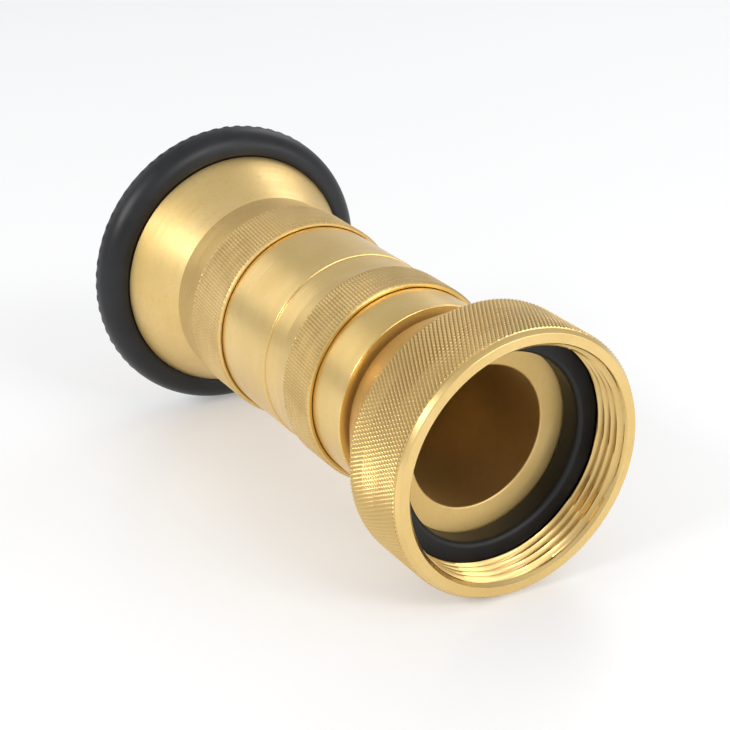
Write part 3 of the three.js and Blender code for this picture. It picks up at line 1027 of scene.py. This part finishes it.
def fog_teeth(angles, station):
    """Ribs round the bumper's shoulder: their tips stand out at the back, and the gaps deepen forwards."""
    share = min(max((station - GAP_STATION) / GAP_RUN, 0), 1)
    tooth = np.clip(2.6 * triangle_wave(angles * TEETH / (2 * math.pi)) - 0.8, 0, 1)
    worn = 0.8 + 0.2 * np.sin(5 * angles) * np.sin(17 * angles)
    tip = TIP_HEIGHT * max(0, 1 - abs(station - TIP_STATION) / TIP_REACH)
    gap = share * (1 - tooth)
    return tip * worn * tooth - GAP_DEPTH * gap, 0.6 * gap


def make_bumper():
    facets = TEETH * 12
    radial = BUMPER_OUTER - BUMPER_CENTRE
    axial = 5.5
    section = []
    for i in range(49):
        angle = math.radians(-95 + 168 * i / 48)
        radius = BUMPER_CENTRE + radial * math.cos(angle)
        station = BUMPER_STATION + axial * math.sin(angle)
        toothed = station > TIP_STATION - 1.3
        section.append((radius, station, facets if toothed else AROUND, fog_teeth if toothed else None))
    section.append((BUMPER_CENTRE + 1.2, BUMPER_FRONT - 0.2, facets, fog_teeth))
    bumper = turn(
        "bumper",
        [
            (RIM_GROOVE + 0.3, CONE_END + 1.1, 0.1),
            (BUMPER_CENTRE - 1.6, CONE_END + 0.45, 0.1),
            section,
            (BUMPER_CENTRE + 0.4, BUMPER_FRONT, 0),
            (BELL_MOUTH + 1.2, BUMPER_FRONT, 0.3),
            (BELL_MOUTH + 0.95, RIM_END + 0.3, 0.1),
            (BELL_RIM + 0.3, 146.6, 0.2),
            (BELL_RIM + 0.3, RIM_START + 0.1, 0.2),
            (RIM_GROOVE + 0.3, RIM_START - 0.3, 0.2),
        ],
    )
    place(bumper, "pattern_head", "bumper_rubber", BUMPER_RUBBER, "rubber_bumper")


make_coupling()
make_balls()
make_tail_tube()
make_barrel()
make_spider()
make_stem()
make_stem_fixings()
make_baffle()
make_head()
make_bumper()

# ---------------------------------------------------------------- stage and light

def make_floor():
    up = floor_up()
    low = GRIP_REST - up * 0.0002
    right = Vector((1, 0, 0))
    ahead = right.cross(up)
    size = 4.0
    turns = ((-1, -1), (1, -1), (1, 1), (-1, 1))
    corners = [low + right * x * size + ahead * y * size for x, y in turns]
    floor = link_mesh("floor", [tuple(c) for c in corners], [(0, 1, 2, 3)])
    if floor.data.polygons[0].normal.dot(up) < 0:
        floor.data.flip_normals()
    n = Nodes(
        "floor",
        Base_Color=(0.66, 0.66, 0.66, 1),
        Roughness=0.4,
        Emission_Color=(1, 1, 1, 1),
        Emission_Strength=0.3,
    )
    floor.data.materials.append(n.material)


def area_light(name, location, aim, width, height, power):
    data = bpy.data.lights.new(name, "AREA")
    data.shape = "RECTANGLE"
    data.size = width
    data.size_y = height
    data.energy = power
    lamp = bpy.data.objects.new(name, data)
    direction = Vector(aim) - Vector(location)
    facing = direction.to_track_quat("-Z", "Y").to_matrix().to_4x4()
    lamp.matrix_world = Matrix.Translation(location) @ facing
    bpy.context.scene.collection.objects.link(lamp)


def make_light():
    world = bpy.data.worlds.new("studio")
    bpy.context.scene.world = world
    world.use_nodes = True
    background = world.node_tree.nodes["Background"]
    background.inputs["Color"].default_value = (0.97, 0.98, 1.0, 1)
    background.inputs["Strength"].default_value = 0.66
    aim = (0, 0.07, 0)
    area_light("key", (-0.95, 0.0, 0.6), aim, 0.5, 0.24, 4.6)
    area_light("back", (-0.55, 0.95, 0.45), aim, 0.9, 0.5, 0.8)
    area_light("front", (0.2, -0.85, 0.75), aim, 0.5, 0.3, 3.8)
    area_light("fill", (0.75, -0.8, 0.3), aim, 0.6, 0.3, 1.8)
    area_light("rim", (0.75, 0.6, 0.6), aim, 0.5, 0.5, 1.3)
    bpy.context.scene.view_settings.view_transform = "Standard"


make_floor()
make_light()
